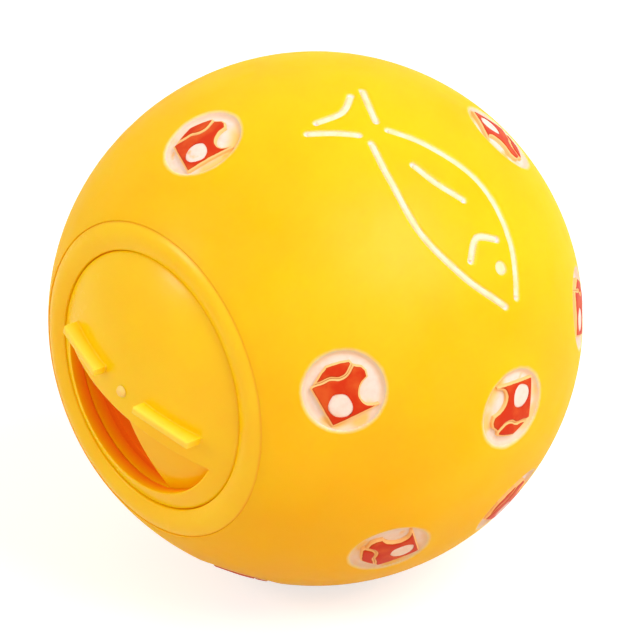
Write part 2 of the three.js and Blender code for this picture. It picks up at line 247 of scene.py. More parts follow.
class Wire:
    """A socket of a material. Sums on wires add the Math nodes that work them out."""

    def __init__(self, socket):
        self.socket = socket

    def node(self, kind, settings, sockets, output=0):
        """A new node in the same material, set up and fed, as the wire from one of its outputs."""
        tree = self.socket.id_data
        made = tree.nodes.new(kind)
        for key, value in settings.items():
            setattr(made, key, value)
        for key, value in sockets.items():
            if isinstance(value, Wire):
                tree.links.new(value.socket, made.inputs[key])
            else:
                made.inputs[key].default_value = value
        return Wire(made.outputs[output])

    def maths(self, operation, first, second):
        """A Math node on two values, of which at least one is a wire."""
        return self.node("ShaderNodeMath", {"operation": operation}, {0: first, 1: second})

    def __add__(self, other):
        return self.maths("ADD", self, other)

    def __radd__(self, other):
        return self.maths("ADD", other, self)

    def __sub__(self, other):
        return self.maths("SUBTRACT", self, other)

    def __rsub__(self, other):
        return self.maths("SUBTRACT", other, self)

    def __mul__(self, other):
        return self.maths("MULTIPLY", self, other)

    def __rmul__(self, other):
        return self.maths("MULTIPLY", other, self)


def new_finish(name):
    """An empty material and its Object coordinates."""
    finish = bpy.data.materials.new(name)
    finish.use_nodes = True
    finish.node_tree.nodes.clear()
    return finish, Wire(finish.node_tree.nodes.new("ShaderNodeTexCoord").outputs["Object"])


def colour(red, green, blue):
    """A colour as a screen shows it, from 0 to 255, as the shader takes it."""
    shares = [value / 255 for value in (red, green, blue)]
    linear = [s / 12.92 if s <= 0.04045 else ((s + 0.055) / 1.055) ** 2.4 for s in shares]
    return (*linear, 1.0)


def blend(share, first, second):
    """A colour between two, where at least the share is a wire."""
    return share.node("ShaderNodeMix", {"data_type": "RGBA"}, {0: share, 6: first, 7: second}, 2)


def grain(coords, scale, detail, roughness=0.5):
    """Soft noise with grains of about 1 / scale metres."""
    sockets = {"Vector": coords, "Scale": scale, "Detail": detail, "Roughness": roughness}
    return coords.node("ShaderNodeTexNoise", {}, sockets, "Fac")


def between(value, low, high):
    """0 where the value is at low, 1 where it is at high, with soft ends."""
    sockets = {"Value": value, "From Min": low, "From Max": high}
    return value.node("ShaderNodeMapRange", {"interpolation_type": "SMOOTHSTEP"}, sockets)


def attribute(coords, name):
    """A number that each point of the piece's own mesh carries."""
    return coords.node("ShaderNodeAttribute", {"attribute_name": name}, {}, "Fac")


def bump(coords, height, depth):
    """Relief of that depth, in metres."""
    return coords.node("ShaderNodeBump", {}, {"Height": height, "Strength": 1.0, "Distance": depth})


def satin(coords, scuff, most):
    """The weight of a satin gloss, which scuffs dull and fades towards the rim of a round piece."""
    facing = coords.node("ShaderNodeLayerWeight", {}, {"Blend": 0.5}, "Facing")
    return (most - SCUFF_LOSS * most * scuff) * (1 - facing)


def surface(finish, coords, base, roughness, normal, **others):
    """Ends a material in a Principled shader. Its other sockets are named with _ for a space."""
    sockets = {"Base Color": base, "Roughness": roughness, "Normal": normal}
    sockets.update({key.replace("_", " "): value for key, value in others.items()})
    shader = coords.node("ShaderNodeBsdfPrincipled", {}, sockets)
    output = finish.node_tree.nodes.new("ShaderNodeOutputMaterial")
    finish.node_tree.links.new(shader.socket, output.inputs["Surface"])


SCUFF_LOSS = 0.3
BLACK = (0, 0, 0, 1)
SHELL_YELLOW = colour(252, 203, 12)
SHELL_DEEP = colour(249, 194, 6)
# Painted shade and glow for the inner side: the inside is painted a deeper orange as the shade in the
# ball, and it glows faintly as painted light coming through the plastic.
PAINTED_INSIDE_SHADE = colour(214, 112, 10)
PAINTED_INSIDE_GLOW = (0.25, 0.052, 0.002, 1)
PAINT_WHITE = colour(242, 232, 238)
PAINT_THIN = colour(254, 220, 160)

shell_plastic, coords = new_finish("shell_plastic")
cloud = grain(coords, scale=55.0, detail=2.0)
peel = grain(coords, scale=900.0, detail=2.0)
scuff = between(grain(coords, scale=160.0, detail=4.0, roughness=0.65), 0.4, 0.75)
mist = attribute(coords, "mist") + (grain(coords, scale=700.0, detail=2.0) - 0.5) * 0.3
inside = attribute(coords, "inside")
# The inner side gets the painted inside shade in its colour and the painted glow in its emission.
plain = blend(inside, blend(between(cloud, 0.35, 0.7), SHELL_YELLOW, SHELL_DEEP), PAINTED_INSIDE_SHADE)
misted = blend(between(mist, 0.1, 0.7), plain, PAINT_THIN)
surface(
    shell_plastic,
    coords,
    blend(between(mist, 0.5, 1.0), misted, PAINT_WHITE),
    0.45 + 0.1 * scuff,
    bump(coords, peel, depth=0.00002),
    Coat_Weight=satin(coords, scuff, most=0.45),
    Coat_Roughness=0.42,
    Subsurface_Weight=0.8,
    Subsurface_Radius=(1.0, 0.36, 0.05),
    Subsurface_Scale=0.0012,
    Specular_IOR_Level=0.02,
    Emission_Color=blend(inside, BLACK, PAINTED_INSIDE_GLOW),
    Emission_Strength=1.0,
)

mouth_angle = math.asin(SEAT_RADIUS / BALL_RADIUS)
shell_profile = arc(BALL_RADIUS, math.pi, mouth_angle, OUTER_RINGS)
lip_corner = len(shell_profile) - 1
shell_profile += [(SEAT_RADIUS, SEAT_HEIGHT), (MOUTH_RADIUS, SEAT_HEIGHT), (MOUTH_RADIUS, LIP_UNDER)]
shell_profile += arc(INNER_RADIUS, math.acos(LIP_UNDER / INNER_RADIUS), math.pi, INNER_RINGS)
lip_rounding = {lip_corner: LIP_ROUNDING, lip_corner + 2: MOUTH_ROUNDING}
shell = turned(shell_profile, BALL_STEPS, rounding=lip_rounding)

spot_aims = [aim(*spot) for spot in SPOTS]
spot_reach = ruler([turn @ Vector((0, 0, BALL_RADIUS)) for turn in spot_aims])
fish_aims = [aim(*place) for place in FISH_PLACES]
fish_lines = {
    name: [on_fish(point.x, point.y) for point in soft_line(points, STROKE_STEPS)]
    for name, points in FISH_STROKES.items()
}
eye = on_fish(*EYE_PLACE)
line_reach = ruler([turn @ point for turn in fish_aims for line in fish_lines.values() for point in line])
eye_reach = ruler([turn @ eye for turn in fish_aims])


def outside(place):
    """True on the round outer face of the shell, clear of the lip."""
    return place.length > INNER_RADIUS + SHELL_WALL / 2 and place.z < SEAT_HEIGHT


def crease(place):
    """How much of the painted inside shade and glow the crease outside the collar gets, as painted light
    that stands in for light coming through the lip.
    """
    gap = math.hypot(math.hypot(place.x, place.y) - SEAT_RADIUS, place.z - CREASE_HEIGHT)
    return CREASE_PAINTED_LIGHT * (1 - ease(gap, *CREASE_FADE))


def nearest_line(place):
    """Distance to the middle of the nearest line. An eye counts as a line that runs inside its edge."""
    return min(line_reach(place), eye_reach(place) - EYE_RADIUS + EYE_MARGIN)


def refine(shape, wanted, cuts):
    """Cuts the faces of the shell's outer side that are wanted into smaller ones."""
    chosen = faces_where(shape, lambda centre: outside(centre) and wanted(on_face(centre)))
    edges = list(dict.fromkeys(edge for face in chosen for edge in face.edges))
    bmesh.ops.subdivide_edges(shape, edges=edges, cuts=cuts, use_grid_fill=True)


def by_spot(place):
    """True on the ball's face in and close around a spot."""
    return spot_reach(place) < SPOT_FINE_REACH


def by_line(place):
    """True on the ball's face along the lines of a fish, clear of the spots."""
    return nearest_line(place) < LINE_FINE_REACH and spot_reach(place) > SPOT_FINE_REACH


refine(shell, by_spot, SPOT_CUTS)
refine(shell, by_line, LINE_CUTS)
mist_layer = shell.verts.layers.float.new("mist")
painted_inside_light_layer = shell.verts.layers.float.new("inside")
# The inner face is marked for the painted inside shade and glow, and the crease outside the collar gets a
# little of it.
for vert in shell.verts:
    vert[painted_inside_light_layer] = 1 if vert.co.length < INNER_RADIUS + INNER_MARGIN else crease(vert.co)
    if outside(vert.co):
        place = on_face(vert.co)
        from_spot = spot_reach(place)
        from_line = nearest_line(place)
        depth = RECESS_DEPTH * (1 - ease(from_spot, *RECESS_SLOPE))
        depth += PAINT_BED * (1 - ease(from_spot, *PAINT_EDGE))
        depth += GROOVE_DEPTH * (1 - ease(from_line, *GROOVE_SLOPE))
        vert.co = place * (1 - depth / BALL_RADIUS)
        vert[mist_layer] = 1 - min(ease(from_spot, *SPOT_MIST), ease(from_line, *LINE_MIST))
make_piece("shell", shell, shell_plastic, "ball", "ball_shell")


# White spots: a coat of white paint in each round recess of the shell, with a dot that stands up from it.
# It is sprayed through a mask, so it runs thin at the rim, and it is worn down to the yellow in places.
CUP_REACH = 5.34
CUP_RINGS = [0, 0.8, 1.6, 2.4, 3.2, 3.9, 4.4, 4.65, 4.85, 5.0, 5.1, 5.2, 5.28, CUP_REACH]
CUP_STEPS = 72
CUP_THICKNESS = 0.2
CUP_THIN_FROM = 4.8
CUP_LIFT = 0.015
CUP_TUCK = 0.07
CUP_TUCK_FROM = 5.1
DOT_MIDDLE = (-1.12, -1.57)
DOT_RADIUS = 1.68
DOT_FOOT = BALL_RADIUS - 0.75
DOT_RIM = BALL_RADIUS - 0.24
DOT_CROWN = BALL_RADIUS - 0.03
DOT_FLAT_SHARE = 0.6
DOT_POINTS = 9
DOT_STEPS = 40
PAINT_SHADE = colour(242, 222, 226)
PAINT_RIM = colour(252, 214, 176)
PAINT_WORN = colour(252, 204, 104)
PAINT_BARE = colour(250, 186, 60)

white_paint, coords = new_finish("white_paint")
reach = attribute(coords, "reach")
blot = grain(coords, scale=420.0, detail=2.0)
flow = grain(coords, scale=900.0, detail=3.0)
thin = between(grain(coords, scale=150.0, detail=2.0), 0.47, 0.62) * between(reach, 2.8, 4.6)
bare = between(blot, 0.62, 0.74) * between(reach, 5.0, 4.5)
sprayed = blend(between(flow, 0.35, 0.75), PAINT_WHITE, PAINT_SHADE)
rimmed = blend(between(reach, 4.2, 5.3) * 0.55, sprayed, PAINT_RIM)
worn = blend(thin * 0.85, rimmed, PAINT_WORN)
surface(
    white_paint,
    coords,
    blend(bare * 0.75, worn, PAINT_BARE),
    0.45 + 0.2 * flow,
    bump(coords, flow, depth=0.00003),
    Specular_IOR_Level=0.15,
    Subsurface_Weight=0.2,
    Subsurface_Radius=(1.0, 0.7, 0.5),
    Subsurface_Scale=0.0006,
)


def curved(handles, count):
    """(reach, height) pairs along the Bezier curve of four such handles."""
    points = interpolate_bezier(*[Vector((*handle, 0)) for handle in handles], count)
    return [(point.x, point.y) for point in points]


def pointed_at(place):
    """The shortest turn that brings the Z axis to a place."""
    return Vector((0, 0, 1)).rotation_difference(place).to_matrix().to_4x4()


def on_each_spot(shape, name, finish, node):
    """A copy of a shape on every spot, each a piece of its own."""
    for number, turn in enumerate(spot_aims, 1):
        copied = shape.copy()
        copied.transform(turn)
        spot = f"spot_{number:02d}"
        make_piece(f"{spot}_{name}", copied, finish, "ball", f"{spot}_{node}")
    shape.free()


cup_tops = []
cup_unders = []
for ring in CUP_RINGS:
    lift = CUP_LIFT - CUP_TUCK * ease(ring, CUP_TUCK_FROM, CUP_REACH)
    top = BALL_RADIUS + lift - RECESS_DEPTH * (1 - ease(ring, *RECESS_SLOPE))
    under = top - CUP_THICKNESS * (1 - ease(ring, CUP_THIN_FROM, CUP_REACH))
    angle = ring / BALL_RADIUS
    cup_tops.append((top * math.sin(angle), top * math.cos(angle)))
    cup_unders.append((under * math.sin(angle), under * math.cos(angle)))
cup = turned(cup_unders[:-1] + cup_tops[::-1], CUP_STEPS)
dot_handles = [
    (DOT_RADIUS, DOT_RIM),
    (DOT_RADIUS, DOT_CROWN),
    (DOT_RADIUS * DOT_FLAT_SHARE, DOT_CROWN),
    (0, DOT_CROWN),
]
dot_profile = [(0, DOT_FOOT), (DOT_RADIUS, DOT_FOOT)] + curved(dot_handles, DOT_POINTS)
dot = turned(dot_profile, DOT_STEPS)
dot.transform(pointed_at(on_ball(*DOT_MIDDLE, BALL_RADIUS)))
dot_mesh = bpy.data.meshes.new("dot")
dot.to_mesh(dot_mesh)
dot.free()
cup.from_mesh(dot_mesh)
bpy.data.meshes.remove(dot_mesh)
reach_layer = cup.verts.layers.float.new("reach")
for vert in cup.verts:
    vert[reach_layer] = BALL_RADIUS * math.atan2(math.hypot(vert.co.x, vert.co.y), vert.co.z)
on_each_spot(cup, "white", white_paint, "disc")


# Red wedges: a slice of cheese on each spot, standing up from the white to the curve of the ball.
# It is moulded on, split by a wavy groove and left open for the white dot. Its top is printed red,
# and a pale line stays along its edges, where the print stops. Outlines are in shares of its reach.
WEDGE_REACH = 5.05
WEDGE_FOOT = BALL_RADIUS - 0.8
WEDGE_PITCH = 0.16
SHEET_SNAP = 0.008
SLIVER_GAP = 0.01
EDGE_DROP = 0.2
EDGE_WIDTH = 0.4
EDGE_STEP = 0.03
DIVIDE = [(-0.66, 0.46), (-0.43, 0.44), (-0.2, 0.45), (0, 0.36), (0.2, 0.37), (0.35, 0.47), (0.47, 0.58)]
DIVIDE_HALF_WIDTH = 0.008
TOP_FACE = [(0.44, 0.69), (0.2, 0.75), (-0.02, 0.78), (-0.18, 0.79), (-0.4, 0.66)]
FRONT_SIDES = [(-0.76, 0.42), (-0.64, -0.76), (0.7, -0.71)]
BITE = [
    (0.68, -0.64), (0.53, -0.61), (0.4, -0.54), (0.33, -0.4),
    (0.33, -0.24), (0.4, -0.09), (0.53, 0.03), (0.7, 0.1),
]
FRONT_SHOULDER = [(0.73, 0.28), (0.67, 0.43), (0.56, 0.5)]
DOT_HOLE = [
    (-0.32, 0.01), (-0.12, -0.01), (0.02, -0.12), (0.06, -0.37),
    (0, -0.55), (-0.16, -0.64), (-0.46, -0.52), (-0.55, -0.24),
]
PRINT_RED = colour(206, 56, 27)
PRINT_PALE = colour(217, 92, 43)
PRINT_RIM_AND_SHADE = colour(186, 70, 30)
EDGE_PEACH = colour(249, 202, 142)

red_paint, coords = new_finish("red_paint")
edge = attribute(coords, "edge") + (grain(coords, scale=1100.0, detail=2.0) - 0.5) * 0.5
streak = grain(coords, scale=330.0, detail=3.0)
printed = blend(between(streak, 0.42, 0.72), PRINT_RED, PRINT_PALE)
# A darker brown band along the edges is partly the print's own rim and partly painted shade where the
# edges fall away.
print_rim_and_shade = blend(between(edge, 0.05, 0.3), printed, PRINT_RIM_AND_SHADE)
surface(
    red_paint,
    coords,
    blend(between(edge, 0.33, 0.58), print_rim_and_shade, EDGE_PEACH),
    0.38 + 0.15 * streak,
    bump(coords, streak, depth=0.00004),
    Specular_IOR_Level=0.07,
)


def flat(points):
    """Flat points as vectors."""
    return [Vector((*point, 0)) for point in points]


def filled(outlines, pitch, reach):
    """A flat sheet inside closed outlines, cut into small squares so that it can follow the ball."""
    sheet = bmesh.new()
    for outline in outlines:
        ring = [sheet.verts.new(point) for point in outline]
        for start, end in zip(ring, ring[1:] + ring[:1]):
            sheet.edges.new((start, end))
    bmesh.ops.triangle_fill(sheet, edges=sheet.edges[:], use_beauty=True)
    lines = int(reach / pitch)
    for axis in (Vector((1, 0, 0)), Vector((0, 1, 0))):
        for k in range(-lines, lines + 1):
            geom = sheet.verts[:] + sheet.edges[:] + sheet.faces[:]
            middle = axis * k * pitch
            bmesh.ops.bisect_plane(sheet, geom=geom, plane_co=middle, plane_no=axis, dist=SHEET_SNAP)
    bmesh.ops.remove_doubles(sheet, verts=sheet.verts[:], dist=SLIVER_GAP)
    bmesh.ops.triangulate(sheet, faces=sheet.faces[:])
    return sheet


def dotted(outline, step):
    """Points at most a step apart along a closed outline."""
    points = []
    for start, end in zip(outline, outline[1:] + outline[:1]):
        steps = math.ceil((end - start).length / step)
        points += [start.lerp(end, i / steps) for i in range(steps)]
    return points


def extruded(shape, faces):
    """Extrudes faces without a move, and gives the vertices of their copy."""
    grown = bmesh.ops.extrude_face_region(shape, geom=faces)["geom"]
    return {item for item in grown if isinstance(item, bmesh.types.BMVert)}


divide = soft_line(DIVIDE, steps=6)
above = [point + Vector((0, DIVIDE_HALF_WIDTH, 0)) for point in divide]
below = [point - Vector((0, DIVIDE_HALF_WIDTH, 0)) for point in divide]
top_face = above + flat(TOP_FACE)
front_face = flat(FRONT_SIDES) + soft_line(BITE, steps=5) + flat(FRONT_SHOULDER) + below[::-1]
outlines = [top_face, front_face, soft_line(DOT_HOLE, steps=6, closed=True)]
outlines = [[point * WEDGE_REACH for point in outline] for outline in outlines]
edge_reach = ruler([point for outline in outlines[:2] for point in dotted(outline, EDGE_STEP)])
wedge = filled(outlines, WEDGE_PITCH, WEDGE_REACH)
edge_layer = wedge.verts.layers.float.new("edge")
raised = extruded(wedge, wedge.faces[:])
for vert in wedge.verts:
    near = 1 - ease(edge_reach(vert.co), 0, EDGE_WIDTH)
    vert[edge_layer] = near if vert in raised else 1
    height = BALL_RADIUS - EDGE_DROP * near if vert in raised else WEDGE_FOOT
    vert.co = on_ball(vert.co.x, vert.co.y, height)
bmesh.ops.recalc_face_normals(wedge, faces=wedge.faces[:])
on_each_spot(wedge, "red", red_paint, "wedge")


# Fish lines: soft white lines laid by brush in the grooves of the shell, almost flush with the ball.
# They are of the same white paint as the spots. They end round, and the eye is a low dot.
LINE_HALF_WIDTH = 0.37
LINE_MIDDLE = BALL_RADIUS - 0.28
LINE_FLATNESS = 0.6
LINE_STEP = 0.3
LINE_ROUNDNESS = 3
LINE_TIP_SHARE = 0.12
EYE_RINGS = [0, 0.3, 0.55, 0.72, EYE_RADIUS]
EYE_ROOT = 0.3
EYE_CROWN = 0.28
EYE_STEPS = 24
LINE_WHITE = colour(250, 238, 222)
LINE_CREAM = colour(253, 224, 182)

line_paint, coords = new_finish("line_paint")
flow = grain(coords, scale=700.0, detail=3.0)
surface(
    line_paint,
    coords,
    blend(between(flow, 0.35, 0.75), LINE_WHITE, LINE_CREAM),
    0.45 + 0.2 * flow,
    bump(coords, flow, depth=0.00004),
    Specular_IOR_Level=0.15,
)


def bead(route):
    """A round bead along a route, with round ends."""
    lengths = [0]
    for start, end in zip(route, route[1:]):
        lengths.append(lengths[-1] + (end - start).length)
    curve = bpy.data.curves.new("bead", "CURVE")
    curve.dimensions = "3D"
    curve.bevel_depth = LINE_HALF_WIDTH
    curve.bevel_resolution = LINE_ROUNDNESS
    curve.use_fill_caps = True
    spline = curve.splines.new("POLY")
    spline.points.add(len(route) - 1)
    for point, place, length in zip(spline.points, route, lengths):
        end = min(length, lengths[-1] - length, LINE_HALF_WIDTH) / LINE_HALF_WIDTH
        point.co = (*place, 1)
        point.radius = max(math.sqrt(1 - (1 - end) ** 2), LINE_TIP_SHARE)
    carrier = bpy.data.objects.new("bead", curve)
    tube = bpy.data.meshes.new_from_object(carrier)
    shape = bmesh.new()
    shape.from_mesh(tube)
    bpy.data.meshes.remove(tube)
    bpy.data.objects.remove(carrier)
    bpy.data.curves.remove(curve)
    bmesh.ops.remove_doubles(shape, verts=shape.verts[:], dist=MERGE_GAP)
    bmesh.ops.recalc_face_normals(shape, faces=shape.faces[:])
    return shape


def stepped(route, step):
    """The route again, with points about a step apart and its ends kept."""
    kept = [route[0]]
    for point in route[1:-1]:
        if (point - kept[-1]).length >= step:
            kept.append(point)
    return kept + [route[-1]]


eye_profile = [(0, LINE_MIDDLE - EYE_ROOT)]
for ring in EYE_RINGS[::-1]:
    eye_profile.append((ring, LINE_MIDDLE + EYE_CROWN * math.sqrt(1 - (ring / EYE_RADIUS) ** 2)))
for number, turn in enumerate(fish_aims, 1):
    fish = f"fish_{number}"
    for name, line in fish_lines.items():
        stroke = bead([point * (LINE_MIDDLE / BALL_RADIUS) for point in stepped(line, LINE_STEP)])
        for vert in stroke.verts:
            off = vert.co.length - LINE_MIDDLE
            vert.co *= (LINE_MIDDLE + off * LINE_FLATNESS) / vert.co.length
        stroke.transform(turn)
        make_piece(f"{fish}_{name}_line", stroke, line_paint, "ball", f"{fish}_{name}")
    eye_dot = turned(eye_profile, EYE_STEPS)
    eye_dot.transform(turn @ pointed_at(eye))
    make_piece(f"{fish}_eye_dot", eye_dot, line_paint, "ball", f"{fish}_eye")


# Collar: a ring of paler, glossier plastic that snaps into the mouth of the ball.
# Its round bead frames the dial, its shoulder carries the dial's rim, and its ledge the gate plate.
COLLAR_STEPS = 144
COLLAR_RADIUS = SEAT_RADIUS - 0.02
BEAD_OUTER = (COLLAR_RADIUS, 27.66)
BEAD_INNER = (17.45, 28.2)
BEAD_CROWN = 0.57
BEAD_POINTS = 15
COLLAR_FOOT = [
    (15.0, 22.82), (18.4, 22.82), (19.2, 23.85),
    (18.4, 23.85), (18.4, 26.45), (COLLAR_RADIUS, 26.45),
]
SNAP_CORNER = 2
SNAP_ROUNDING = 0.2
OUTER_ROUNDING = 0.06
INNER_ROUNDING = 0.16
SHOULDER_HEIGHT = 25.97
SHOULDER_MARGIN = 0.1
COLLAR_STEP = [(17.45, SHOULDER_HEIGHT), (16.3, SHOULDER_HEIGHT), (16.3, 24.72), (15.0, 24.72)]
DISPENSER_YELLOW = colour(255, 213, 14)
DISPENSER_DEEP = colour(253, 206, 8)


def dispenser_finish(name, light, deep, roughness, crest=None, scatter=0.0008):
    """Satin injection-moulded plastic with faint flow marks and fine scuffs, painted shade and glow on
    its inner side, and, where crest is given, a painted highlight on the bar crests.

    scatter is how far light goes in the plastic, in metres.
    """
    finish, coords = new_finish(name)
    cloud = grain(coords, scale=70.0, detail=2.0)
    scuff = between(grain(coords, scale=260.0, detail=5.0, roughness=0.7), 0.5, 0.8)
    peel = grain(coords, scale=1300.0, detail=2.0)
    inside = attribute(coords, "inside")
    yellow = blend(between(cloud, 0.35, 0.7), light, deep)
    # Bar crests get a paler yellow as a painted highlight.
    if crest:
        yellow = blend(attribute(coords, "crest"), yellow, crest)
    surface(
        finish,
        coords,
        blend(inside, yellow, PAINTED_INSIDE_SHADE),
        roughness + 0.1 * scuff,
        bump(coords, peel, depth=0.000012),
        Coat_Weight=satin(coords, scuff, most=0.65),
        Coat_Roughness=0.28,
        Specular_IOR_Level=0.02,
        Subsurface_Weight=0.7,
        Subsurface_Radius=(1.0, 0.36, 0.06),
        Subsurface_Scale=scatter,
        Emission_Color=blend(inside, BLACK, PAINTED_INSIDE_GLOW),
        Emission_Strength=1.0,
    )
    return finish


collar_plastic = dispenser_finish("dispenser_plastic", DISPENSER_YELLOW, DISPENSER_DEEP, roughness=0.25)
outer = Vector(BEAD_OUTER)
inner = Vector(BEAD_INNER)
across = (inner - outer).normalized()
swell = Vector((across.y, -across.x)) * BEAD_CROWN * 4 / 3
bead_handles = [outer, outer.lerp(inner, 1 / 3) + swell, outer.lerp(inner, 2 / 3) + swell, inner]
collar_profile = COLLAR_FOOT + curved(bead_handles, BEAD_POINTS) + COLLAR_STEP
outer_corner = len(COLLAR_FOOT)
inner_corner = outer_corner + BEAD_POINTS - 1
collar_rounding = {outer_corner: OUTER_ROUNDING, inner_corner: INNER_ROUNDING, SNAP_CORNER: SNAP_ROUNDING}
collar = turned(collar_profile, COLLAR_STEPS, closed=True, rounding=collar_rounding)
painted_inside_light_layer = collar.verts.layers.float.new("inside")
for vert in collar.verts:
    # Below the shoulder the collar gets the painted inside shade and glow, and its outer edge a little of
    # it in the crease.
    vert[painted_inside_light_layer] = 1 if vert.co.z < SHOULDER_HEIGHT + SHOULDER_MARGIN else crease(vert.co)
make_piece("collar_ring", collar, collar_plastic, "ball", "collar")


# Gate plate: the fixed domed plate under the dial, with a half-moon window of its own.
# Its yellow is a little deeper than the collar's, as painted shade for lying under the dial, its finish
# is duller, and it lies on the collar's ledge.
DIAL_TOP = BALL_RADIUS - 2
DIAL_UNDER = DIAL_TOP - 1.6
GATE_TOP = DIAL_UNDER - 0.12
GATE_UNDER = GATE_TOP - 1.58
GATE_RADIUS = 16.0
GATE_ANGLE = -66
PIN_HOLE = 0.7
WINDOW_RADIUS = 14.8
WINDOW_EDGE = 3.45
WINDOW_HALF_CHORD = math.sqrt(WINDOW_RADIUS**2 - WINDOW_EDGE**2)
WINDOW_MARGIN = 1
EDGE_ROUND = 0.3
EDGE_LINES = [0, 0.05, 0.14, EDGE_ROUND]
PLATE_RINGS = [PIN_HOLE, *range(2, 14), 14.5, 15.6, 16.1]
PLATE_STEPS = 144
CUT_SNAP = 0.004
GATE_PAINTED_SHADE_YELLOW = colour(252, 204, 0)
GATE_PAINTED_SHADE_DEEP = colour(247, 196, 0)


def dome_height(radius, reach):
    """Height of a sphere about the ball's centre, at a distance from the dial axis."""
    return math.sqrt(radius * radius - reach * reach)


def flat_reach(place):
    """Distance from the dial axis."""
    return math.hypot(place.x, place.y)


def cut_across(shape, point, normal, wanted):
    """Cuts the wanted faces along a plane."""
    faces = faces_where(shape, wanted)
    geom = list(dict.fromkeys(item for face in faces for item in [face, *face.edges, *face.verts]))
    bmesh.ops.bisect_plane(shape, geom=geom, plane_co=point, plane_no=normal, dist=CUT_SNAP)


def edge_fall(from_edge, radius):
    """How far a rounded edge lies below its face, at a distance from the edge."""
    short = radius - min(max(from_edge, 0), radius)
    return radius - math.sqrt(radius**2 - short**2)


def near_window(place):
    """True within the round of a plate's window or close around it."""
    return flat_reach(place) < WINDOW_RADIUS + WINDOW_MARGIN


def in_window(place):
    """True in the half moon of a plate's window."""
    return flat_reach(place) < WINDOW_RADIUS and place.y < -WINDOW_EDGE


def window_gap(place):
    """Distance from a place on a plate to its window, seen along the dial axis."""
    if place.y > -WINDOW_EDGE:
        return math.hypot(max(abs(place.x) - WINDOW_HALF_CHORD, 0), place.y + WINDOW_EDGE)
    return max(flat_reach(place) - WINDOW_RADIUS, 0)


def window_plate(top, under, radius):
    """A domed plate with a pin hole and a half-moon window, with soft upper edges."""
    rings = sorted(PLATE_RINGS + [WINDOW_RADIUS + line for line in EDGE_LINES])
    rings = [ring for ring in rings if ring < radius - EDGE_ROUND]
    rings += [radius - line for line in EDGE_LINES[::-1]]
    plate = turned([(ring, dome_height(top, ring)) for ring in rings], PLATE_STEPS)
    for line in EDGE_LINES:
        cut_across(plate, (0, line - WINDOW_EDGE, 0), (0, 1, 0), near_window)
    bmesh.ops.delete(plate, geom=faces_where(plate, in_window), context="FACES")
    painted_inside_light_layer = plate.verts.layers.float.new("inside")
    lower = extruded(plate, plate.faces[:])
    for vert in plate.verts:
        reach = flat_reach(vert.co)
        if vert in lower:
            vert.co.z = dome_height(under, reach)
            # The underside gets the painted inside shade and glow.
            vert[painted_inside_light_layer] = 1
        else:
            from_edge = min(window_gap(vert.co), radius - reach)
            vert.co.z = dome_height(top, reach) - edge_fall(from_edge, EDGE_ROUND)
    bmesh.ops.recalc_face_normals(plate, faces=plate.faces[:])
    return plate


gate_plastic = dispenser_finish("gate_plastic", GATE_PAINTED_SHADE_YELLOW, GATE_PAINTED_SHADE_DEEP, roughness=0.4)
gate = window_plate(GATE_TOP, GATE_UNDER, GATE_RADIUS)
gate.transform(turn_about("Z", GATE_ANGLE))
make_piece("gate", gate, gate_plastic, "ball", "gate_plate")


# Dial: the domed disc that turns in the collar, with its half-moon window and two straight grip bars.
# It is moulded in one piece with the bars and held in the middle by the pivot pin.
DIAL_RADIUS = 17.34
DIAL_ANGLE = -17.5
BAR_ENDS = (3.95, 12.85)
BAR_SIDES = (0.03, 1.11)
BAR_HEIGHT = 2.0
BAR_RISE = 0.4
BAR_ROUND = 0.32
BAR_FILLET = 0.22
BAR_LINES = [-BAR_FILLET, -0.13, -0.06, -0.02, 0, 0.02, 0.1, 0.2, BAR_ROUND]
BAR_MARGIN = 1.3
DIAL_YELLOW = colour(255, 214, 12)
DIAL_DEEP = colour(253, 207, 6)
# A paler yellow for the bar crests, as a painted highlight where light falls on the raised bars.
BAR_PAINTED_HIGHLIGHT = colour(255, 226, 84)


def inside_bar(place):
    """Distance from a place to the nearest side or end of its bar, which is negative outside the bar."""
    along = abs(place.x)
    ends = min(along - BAR_ENDS[0], BAR_ENDS[1] - along)
    return min(ends, place.y - BAR_SIDES[0], BAR_SIDES[1] - place.y)


def on_top(place):
    """True on the dial's upper side."""
    return place.z > dome_height((DIAL_TOP + DIAL_UNDER) / 2, min(flat_reach(place), DIAL_RADIUS))


def by_bar(place):
    """True on the dial's upper side, where a bar stands or close around it."""
    return on_top(place) and inside_bar(place) > -BAR_MARGIN


def under_bar(place):
    """True on the dial's upper side, where a bar stands."""
    return on_top(place) and inside_bar(place) > 0


dial_plastic = dispenser_finish("dial_plastic", DIAL_YELLOW, DIAL_DEEP, roughness=0.25, crest=BAR_PAINTED_HIGHLIGHT)
dial = window_plate(DIAL_TOP, DIAL_UNDER, DIAL_RADIUS)
for line in BAR_LINES:
    for along in (BAR_ENDS[0] + line, BAR_ENDS[1] - line):
        for x in (along, -along):
            cut_across(dial, (x, 0, 0), (1, 0, 0), by_bar)
    for y in (BAR_SIDES[0] + line, BAR_SIDES[1] - line):
        cut_across(dial, (0, y, 0), (0, 1, 0), by_bar)
for vert in dial.verts:
    if by_bar(vert.co):
        past_end = max(BAR_ENDS[0] - abs(vert.co.x), abs(vert.co.x) - BAR_ENDS[1], 0)
        past_side = max(BAR_SIDES[0] - vert.co.y, vert.co.y - BAR_SIDES[1], 0)
        vert.co.z += edge_fall(math.hypot(past_end, past_side), BAR_FILLET)
